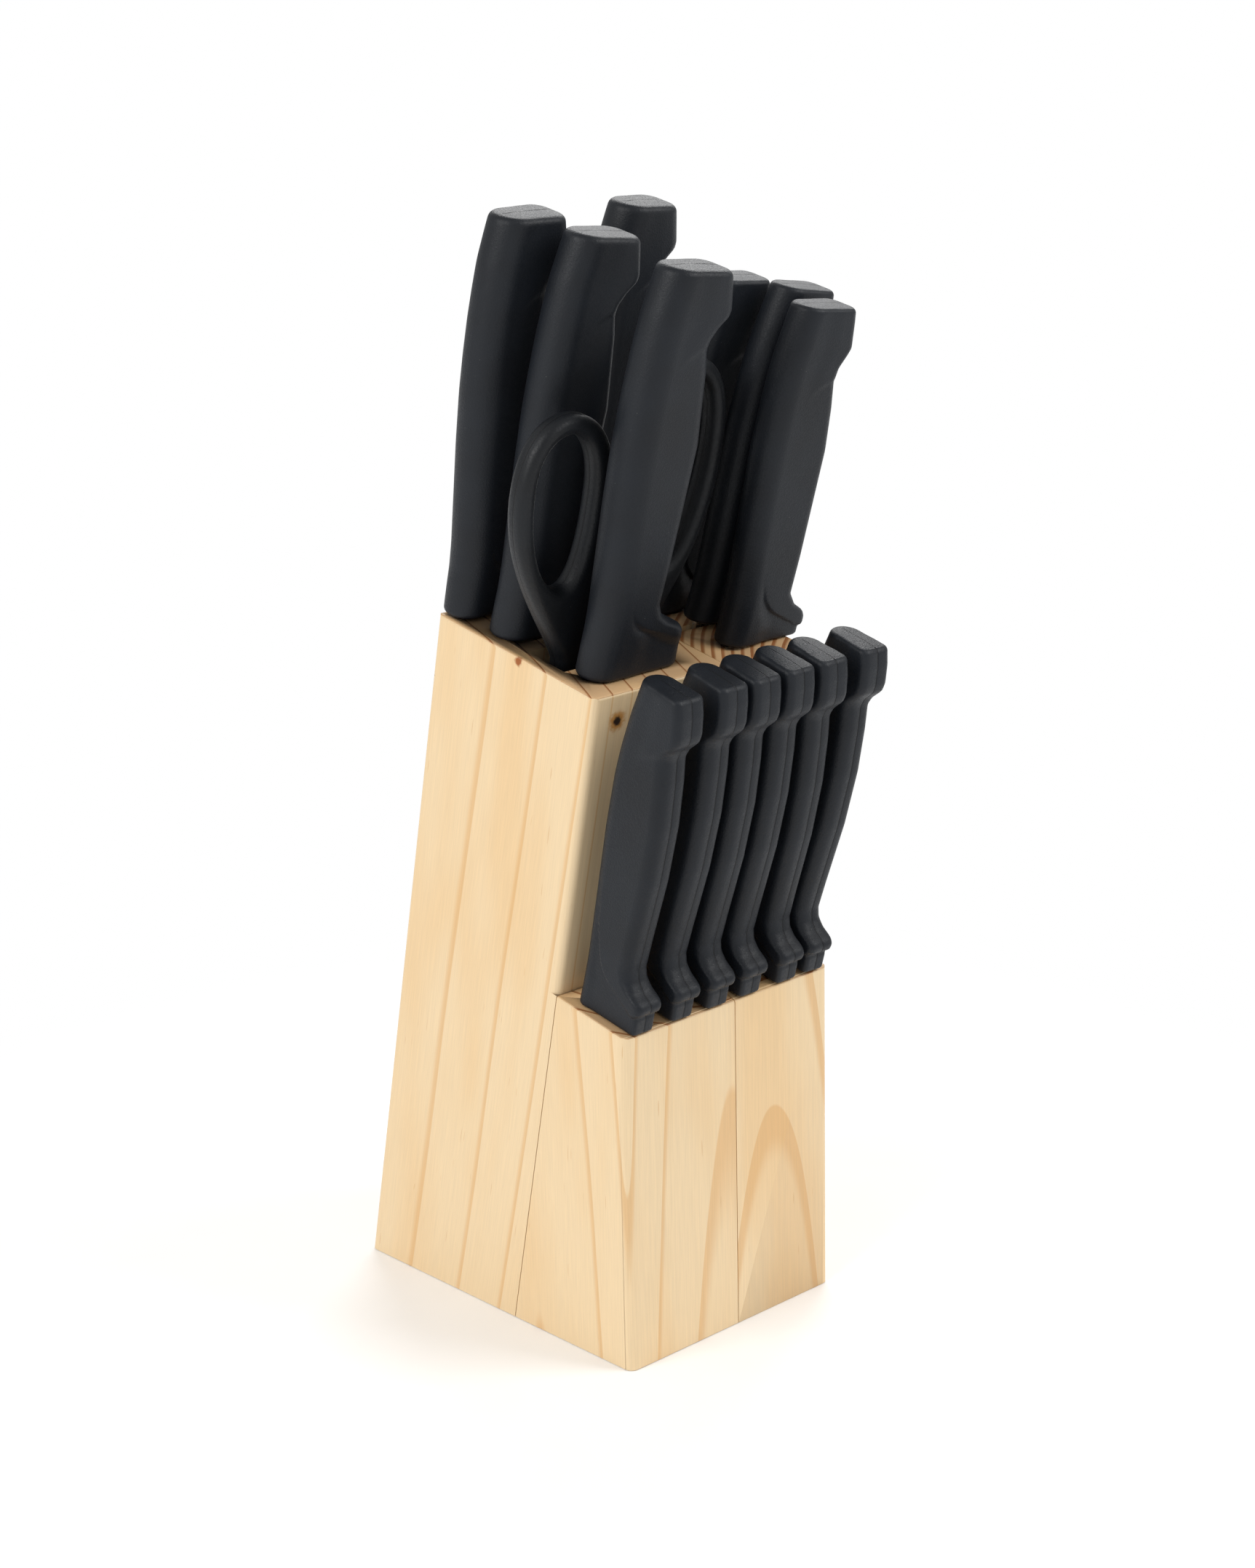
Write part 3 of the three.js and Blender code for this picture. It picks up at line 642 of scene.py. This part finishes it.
# %% The skin of a handle
def handle_piece(name, kind, matrix):
    """A handle from its rounded foot to its crowned butt"""
    length, foot, butt = kind["length"], kind["foot_round"], kind["butt_round"]
    arc = 1 - np.cos(np.radians(np.linspace(0, 90, 8)))
    levels = np.concatenate([foot * arc, np.arange(foot + 0.4, 30, 0.4),
                             np.arange(30, length - butt - 0.4, 0.8), length - butt * arc[::-1]])
    spine = soft_profile(kind["spine"], levels, 3.0)
    edge = soft_profile(kind["edge"], levels, 0.9)
    half = soft_profile(kind["half"], levels, 4.0)
    rings = []
    for z, spine_x, edge_x, thick in zip(levels, spine, edge, half):
        inset = 0
        if z < foot:
            inset = foot - math.sqrt(max(foot ** 2 - (foot - z) ** 2, 0))
        if z > length - butt:
            inset = butt - math.sqrt(max(butt ** 2 - (z - length + butt) ** 2, 0))
        xs, ys = handle_section(kind, z, spine_x, edge_x, thick, inset)
        share = (xs - spine_x) / (edge_x - spine_x)
        fall = kind["slope"] * share * smoothstep(kind["cap"], length, z)
        rings.append(np.stack([xs, ys, z - fall], axis=1))
    last = rings[-1]
    middle = (last[:, 0].min() + last[:, 0].max()) / 2
    reach = (last[:, 0].max() - last[:, 0].min()) / 2
    crown_height = 0.2
    crown = crown_height * (1 - ((last[:, 0] - middle) / reach) ** 4)
    for shrink in (0.8, 0.6, 0.4, 0.2, 0.05):
        inner = last.copy()
        inner[:, 1] *= shrink
        inner[:, 2] += crown * (1 - shrink ** 2)
        rings.append(inner)
    vertices, faces = loft(rings)
    piece = new_piece(name, vertices, faces, matrix)
    piece.data.materials.append(handle_plastic)
    return piece


print("foot and butt rounds of a large handle:", LARGE["foot_round"], LARGE["butt_round"], "mm")

# %% [markdown]
# ## Blades
# A blade is cut from strip, and each side is ground from near its middle to a thin edge. Bread
# and steak knives then get scallops along it. A flat slab with a bevelled rim would do for a
# knife in its slot, but blades are seen when the knives are drawn out, so this is a skin over
# level sections too, close enough together to follow the scallops.

# %% The skin of a blade
GRIND_START = 0.45
SPINE_INSET = 1.0
EDGE_HALF, EDGE_ROUND = 0.12, 0.02
BLADE_TOP, LEVEL_STEP = -0.32, 0.75
SCALLOP_DEPTH, FIRST_SCALLOP = 0.45, -8


def blade_piece(name, kind, matrix):
    """kind: length, width, thickness, tip shape and length, scallop pitch, neck of the handle"""
    length, width, thick = kind["length"], kind["width"], kind["thickness"] / 2
    spine_x, edge_x = SPINE_INSET, SPINE_INSET + width
    neck = kind["neck"]
    rings = []

    def section(z, back_x, front_x, edge_half):
        grind = back_x + (front_x - back_x) * GRIND_START
        near = front_x - EDGE_ROUND
        corners = [(back_x, thick), (grind, thick), (near, edge_half), (front_x, 0),
                   (near, -edge_half), (grind, -thick), (back_x, -thick)]
        rings.append(np.array([(x, y, z) for x, y in corners]))

    for z in (kind["tang"], BLADE_TOP + 0.01):
        section(z, neck * 0.3, neck * 0.7, thick)
    top, tip = BLADE_TOP, -length
    turn = tip + kind["tip_length"]
    for z in np.arange(top, tip + 0.01, -LEVEL_STEP):
        share = np.clip((turn - z) / kind["tip_length"], 0, 1)
        back_x, front_x = spine_x, edge_x - 0.5 * smoothstep(top, turn, z)
        if kind["tip"] == "drop":
            front_x -= (width - 1.6) * share ** 1.9
        elif kind["tip"] == "sheep":
            back_x += (width - 4) * share ** 2.6
        else:
            inset = width / 2 * (1 - math.sqrt(max(1 - share ** 2, 0)))
            back_x, front_x = back_x + inset * 0.95, front_x - inset * 0.95
        if kind["scallop"] and z < FIRST_SCALLOP:
            front_x -= SCALLOP_DEPTH * abs(math.sin(math.pi * z / kind["scallop"]))
        section(z, back_x, max(front_x, back_x + 0.4), EDGE_HALF)
    vertices, faces = loft(rings)
    piece = new_piece(name, vertices, faces, matrix, smooth=False)
    piece.data.materials.append(blade_steel)
    return piece


def blade_kind(length, width, thickness, tip, tip_length, neck, tang, scallop=0):
    """Sizes in millimetres; neck is the handle's width above the guard, and tang is how far
    the steel runs up inside the handle"""
    return dict(length=length, width=width, thickness=thickness, tip=tip, neck=neck,
                tip_length=tip_length, tang=tang, scallop=scallop)


print("a blade's edge is", 2 * EDGE_HALF, "mm thick")

# %% [markdown]
# ## Knives in their places
# Real knives sit a little loose in their slots, so they could be dropped in by a physics
# simulation. Here each has its place written down instead, which keeps the row the same each
# time. A knife of the tall part has its spine line at `across` from the block's left face and
# its blade plane at `deep` from the back face, in millimetres. It tilts by a few degrees, to
# the right where the number is above zero, and stands on its lowest corner, guard or heel.

# %% The seven knives of the tall part
# name, handle, blade, across, deep, tilt
TALL_KNIVES = [
    ("bread_knife", LARGE, blade_kind(190, 24, 1.6, "round", 22, 20.4, 70, 4.5), 2.6, 4.4, -4.9),
    ("santoku_knife", LARGE, blade_kind(165, 26.5, 1.8, "sheep", 40, 20.4, 70), 4.6, 21.8, 0),
    ("chef_knife", LARGE, blade_kind(190, 28, 1.8, "drop", 75, 20.4, 70), 7.5, 54.3, 0),
    ("carving_knife", MEDIUM, blade_kind(188, 24, 1.6, "drop", 60, 19, 70), 42.3, 4.5, -3),
    ("boning_knife", SMALL, blade_kind(135, 17, 1.5, "drop", 45, 20.8, 60), 56, 26.5, 0),
    ("utility_knife", SMALL, blade_kind(125, 17, 1.5, "drop", 40, 20.8, 60), 60.3, 41, 3.9),
    ("paring_knife", SMALL, blade_kind(88, 18, 1.5, "drop", 34, 20.8, 60), 58.6, 55.5, 1),
]


def place_knife(name, kind, blade, stand):
    """A handle and its blade, on the knife's own body"""
    handle = handle_piece(f"{name}_moulded_handle", kind, stand)
    take_place(handle, name, "handle_plastic", f"{name}_handle")
    steel_part = blade_piece(f"{name}_ground_blade", blade, stand)
    take_place(steel_part, name, "blade_steel", f"{name}_blade")


for name, kind, blade, across, deep, tilt_degrees in TALL_KNIVES:
    tilt = math.radians(tilt_degrees)
    guard = max(x for _, x in kind["edge"][:5])
    lift = SEAT_GAP / MM + max(guard * math.sin(tilt), kind["heel"] * math.sin(-tilt), 0)
    seat = Matrix.Translation(Vector((across - half_width, -deep, top + lift)) * MM)
    place_knife(name, kind, blade, leaning @ seat @ Matrix.Rotation(tilt, 4, "Y"))
print("knives on the tall part:", len(TALL_KNIVES))

# %% The row of steak knives
# drift, as a share of the space between handles, and tilt
STEAK_STANDS = [(-0.09, 0), (0.34, 1), (0.41, 0.3), (0.25, 0.3), (0.68, -0.8), (-0.06, 2.2)]
STEAK_PITCH, STEAK_SPACE, STEAK_SPINE = 13.6, 3.2, 72
STEAK_HEEL = 4.8
steak_blade = blade_kind(95, 18.5, 1.2, "drop", 30, 17.6, 60, 3.0)
for i, (drift, tilt_degrees) in enumerate(STEAK_STANDS):
    tilt = math.radians(tilt_degrees)
    across = (i + 0.5) * STEAK_PITCH + drift * STEAK_SPACE
    lift = SEAT_GAP / MM + STEAK_HEEL * abs(math.sin(tilt))
    seat = Matrix.Translation(Vector((across - half_width, -STEAK_SPINE, step_rise + lift)) * MM)
    turn = Matrix.Rotation(tilt, 4, "Y") @ Matrix.Rotation(-math.pi / 2, 4, "Z")
    place_knife(f"steak_knife_{i + 1}", STEAK, steak_blade, leaning @ seat @ turn)
print("steak knives:", len(STEAK_STANDS))

# %% [markdown]
# ## Shears
# Each half is a stamped steel blade with a plastic grip moulded on it, with a thumb or finger
# loop. A bent tube could make the loops, but not the flat shank. A filled curve makes both in
# one: its outline and hole are drawn flat, it is extruded to the grip's thickness, and its
# bevel rounds the rims evenly. The left half is the right one turned half round.

# %% Curves and slabs
def bezier(points, steps=20):
    """Points of a chain of cubic curves: a start, then two handles and an end for each"""
    out = []
    for k in range(0, len(points) - 1, 3):
        p = [np.array(q, float) for q in points[k:k + 4]]
        for i in range(steps):
            t = i / steps
            out.append(p[0] * (1 - t) ** 3 + 3 * p[1] * t * (1 - t) ** 2
                       + 3 * p[2] * t ** 2 * (1 - t) + p[3] * t ** 3)
    return out


def slab(name, outlines, thickness, rim, matrix):
    """A flat piece between outlines in x and z, centred on y = 0, with rounded rims"""
    curve = bpy.data.curves.new(name, "CURVE")
    curve.dimensions = "2D"
    curve.fill_mode = "BOTH"
    curve.extrude = (thickness / 2 - rim) * MM
    curve.bevel_depth = rim * MM
    curve.bevel_resolution = 5
    curve.offset = -rim * MM
    for outline in outlines:
        spline = curve.splines.new("POLY")
        spline.points.add(len(outline) - 1)
        for point, (x, z) in zip(spline.points, outline):
            point.co = (x * MM, z * MM, 0, 1)
        spline.use_cyclic_u = True
    drawn = put(name + "_curve", curve)
    graph = bpy.context.evaluated_depsgraph_get()
    mesh = bpy.data.meshes.new_from_object(drawn.evaluated_get(graph))
    bpy.data.objects.remove(drawn)
    mesh.transform(Matrix.Rotation(math.pi / 2, 4, "X"))
    weld(mesh, 1e-3 * MM)
    mesh.materials.clear()
    mesh.shade_smooth()
    mesh.set_sharp_from_angle(angle=math.radians(40))
    return put(name, mesh, matrix)


# %% Outlines of a grip and a steel half, in millimetres
SHANK_INNER, SHANK_FOOT, SHANK_OUT = 2.0, -14, 15.4
LOOP_OUT, LOOP_WALL, HOLE_FOOT = 37.1, 5.4, 22
PIVOT_RISE, SHEARS_TIP, PIVOT_BOSS = -45, -130, 9.5
SHEARS_THICKNESS, SHEARS_STEEL, LAYER_GAP = 7.4, 2.2, 0.3
GRIP_ROUND, STEEL_ROUND, BORE_RADIUS = 2.65, 0.2, 2.7


def loop_outlines(loop_top):
    """A grip's outside and the hole of its loop"""
    inner = SHANK_INNER + 2
    middle = (HOLE_FOOT + loop_top) / 2 + 2
    centre = (LOOP_OUT + inner) / 2
    outside = [(SHANK_INNER, SHANK_FOOT), (SHANK_OUT - 2, SHANK_FOOT)]
    outside += bezier([
        (SHANK_OUT, 0), (SHANK_OUT + 5, 10), (LOOP_OUT, 28), (LOOP_OUT, middle),
        (LOOP_OUT, loop_top - 7), (centre + 9, loop_top), (centre, loop_top),
        (centre - 9, loop_top), (inner, loop_top - 9), (inner, middle),
        (inner, 38), (SHANK_INNER, 26), (SHANK_INNER, 14)])
    outside.append((SHANK_INNER, 14))
    hole_out = LOOP_OUT - LOOP_WALL
    hole_in = inner + LOOP_WALL + 1.2
    hole_mid = (hole_out + hole_in) / 2
    hole_top = loop_top - LOOP_WALL
    hole = bezier([
        (hole_mid - 3, HOLE_FOOT), (hole_mid + 4, HOLE_FOOT), (hole_out, middle - 15),
        (hole_out, middle + 3), (hole_out, hole_top - 4), (hole_mid + 5, hole_top),
        (hole_mid, hole_top), (hole_mid - 5, hole_top), (hole_in, hole_top - 6),
        (hole_in, middle), (hole_in, middle - 15), (hole_mid - 8, HOLE_FOOT),
        (hole_mid - 3, HOLE_FOOT)])
    return [outside, hole]


def steel_outline():
    """A half's blade, from the tang in the grip round the pivot boss to the tip"""
    blade = [(11, 8), (5, 8), (5, SHANK_FOOT)]
    blade += bezier([(5, SHANK_FOOT), (3, -24), (-5, -38), (-PIVOT_BOSS, PIVOT_RISE - 2)], 10)
    back = [(-PIVOT_BOSS, PIVOT_RISE - 16), (-8.6, -90), (-5, -115), (-1.5, SHEARS_TIP)]
    blade += bezier(back, 10)
    blade += [(-1.5, SHEARS_TIP), (0.5, SHEARS_TIP), (3.5, PIVOT_RISE - 20)]
    blade += bezier([(5.5, -56), (8.5, -50), (PIVOT_BOSS, -46), (PIVOT_BOSS, PIVOT_RISE + 3)], 6)
    return blade


print("points round a steel half:", len(steel_outline()))

# %% The two halves and their pivot
middle_of_shears = Vector((23.7 - half_width, -40.5, top)) * MM
shears_place = leaning @ Matrix.Translation(middle_of_shears)
round_steps = np.linspace(0, 2 * math.pi, 24, endpoint=False)
bore = [(BORE_RADIUS * math.cos(a), PIVOT_RISE + BORE_RADIUS * math.sin(a)) for a in round_steps]
for half_name, body, turn, loop_top in (
        ("shears_finger", "shears", 0, 82.5), ("shears_thumb", "shears_thumb_half", math.pi, 71.7)):
    place = shears_place @ Matrix.Rotation(turn, 4, "Z")
    outlines = loop_outlines(loop_top)
    grip = slab(f"{half_name}_moulded_grip", outlines, SHEARS_THICKNESS, GRIP_ROUND, place)
    grip.data.materials.append(shears_plastic)
    take_place(grip, body, "shears_plastic", f"{half_name}_handle")
    layer = Matrix.Translation((0, (SHEARS_STEEL + LAYER_GAP) / 2 * MM, 0))
    outlines = [steel_outline(), bore]
    steel_half = slab(
        f"{half_name}_stamped_blade", outlines, SHEARS_STEEL, STEEL_ROUND, place @ layer)
    steel_half.data.materials.append(shears_steel)
    take_place(steel_half, body, "shears_steel", f"{half_name}_blade")
for name in ("shears_pivot_screw", "shears_pivot_nut"):
    nodes[name].data.materials.clear()
    nodes[name].data.materials.append(pivot_steel)
print("shears: two halves, a screw and a nut")

# %% [markdown]
# ## Studio
# A white table that runs out into a white backdrop, a pale room, and three soft lights. A
# curved paper sweep could do the same, but a table whose surface turns into an evenly lit
# backdrop away from the block stays white from every side. The lights come from above on both
# sides, so the faces that lean down and forward stay in shade.

# %% Floor and room
def white_sweep(name, near, far):
    """A white table top that turns into an evenly lit backdrop between two distances"""
    material, tree, surface, where = new_material(name)
    mottle = noise(tree, where, 25)
    tone = blend_colour(tree, mottle, paint("#FAFAFA"), paint("#FFFFFF"))
    tree.links.new(tone, surface.inputs["Base Color"])
    surface.inputs["Roughness"].default_value = 0.7
    away = add(tree, "ShaderNodeVectorMath", {0: where}, output=1, operation="LENGTH")
    backdrop = add(tree, "ShaderNodeEmission", {"Color": (1, 1, 1, 1), "Strength": 1.0})
    share = ramp(tree, away, near, far)
    mixed = add(tree, "ShaderNodeMixShader", {0: share, 1: surface.outputs[0], 2: backdrop})
    tree.links.new(mixed, tree.nodes["Material Output"].inputs["Surface"])
    return material


bpy.ops.mesh.primitive_plane_add(size=6, location=(0, 0, -0.0002))
floor = bpy.context.object
floor.name = "studio_floor"
floor.data.materials.append(white_sweep("white_table", 0.07, 0.3))

ROOM_LIGHT = 0.5
world = bpy.data.worlds.new("pale_room")
bpy.context.scene.world = world
world.use_nodes = True
room = world.node_tree
seen = add(room, "ShaderNodeLightPath")
strength = add(room, "ShaderNodeMapRange", {"Value": seen, "To Min": ROOM_LIGHT, "To Max": 1.0})
room.links.new(strength, room.nodes["Background"].inputs["Strength"])
room.nodes["Background"].inputs["Color"].default_value = (1, 1, 1, 1)
print("the room gives", ROOM_LIGHT, "of the light it shows")


# %% Lights and camera
def soft_light(name, place, aim, size, power):
    """A rectangular softbox; power is in watts"""
    data = bpy.data.lights.new(name, "AREA")
    data.shape = "RECTANGLE"
    data.size, data.size_y = size
    data.energy = power
    towards = (Vector(aim) - Vector(place)).to_track_quat("-Z", "Y")
    put(name, data, Matrix.Translation(place) @ towards.to_matrix().to_4x4())


soft_light("left_softbox", (-1.25, 0.0, 1.0), (0, 0, 0.15), (0.9, 1.0), 12.6)
soft_light("right_softbox", (0.75, -1.05, 1.15), (0, 0, 0.15), (0.8, 0.8), 12.4)
soft_light("back_softbox", (0.85, 0.75, 1.0), (0, 0, 0.2), (0.9, 0.7), 8)

camera_data = bpy.data.cameras.new("studio_camera")
camera = put("studio_camera", camera_data)
bpy.context.scene.camera = camera
camera_data.sensor_fit = "AUTO"
camera_data.sensor_width = 36
camera_data.lens = 68.797
AZIMUTH, ELEVATION, ROLL = (math.radians(a) for a in (-42.981, 16.628, -1.247))
CAMERA_DISTANCE = 0.8681
AIM_HEIGHT, AIM_RIGHT, AIM_DOWN = 0.165, 0.01266, 0.01193
towards_camera = Vector((math.sin(AZIMUTH) * math.cos(ELEVATION),
                         -math.cos(AZIMUTH) * math.cos(ELEVATION), math.sin(ELEVATION)))
level_right = Vector((math.cos(AZIMUTH), math.sin(AZIMUTH), 0))
level_up = towards_camera.cross(level_right)
view_right = level_right * math.cos(ROLL) + level_up * math.sin(ROLL)
view_up = level_up * math.cos(ROLL) - level_right * math.sin(ROLL)
aim = Vector((0, 0, AIM_HEIGHT)) + level_right * AIM_RIGHT - level_up * AIM_DOWN
turned = Matrix((view_right, view_up, towards_camera)).transposed().to_4x4()
camera.matrix_world = Matrix.Translation(aim + towards_camera * CAMERA_DISTANCE) @ turned
bpy.context.scene.view_settings.view_transform = "Standard"
print("camera at", [round(c, 3) for c in camera.matrix_world.translation])

# %% Finish
bpy.context.view_layer.update()
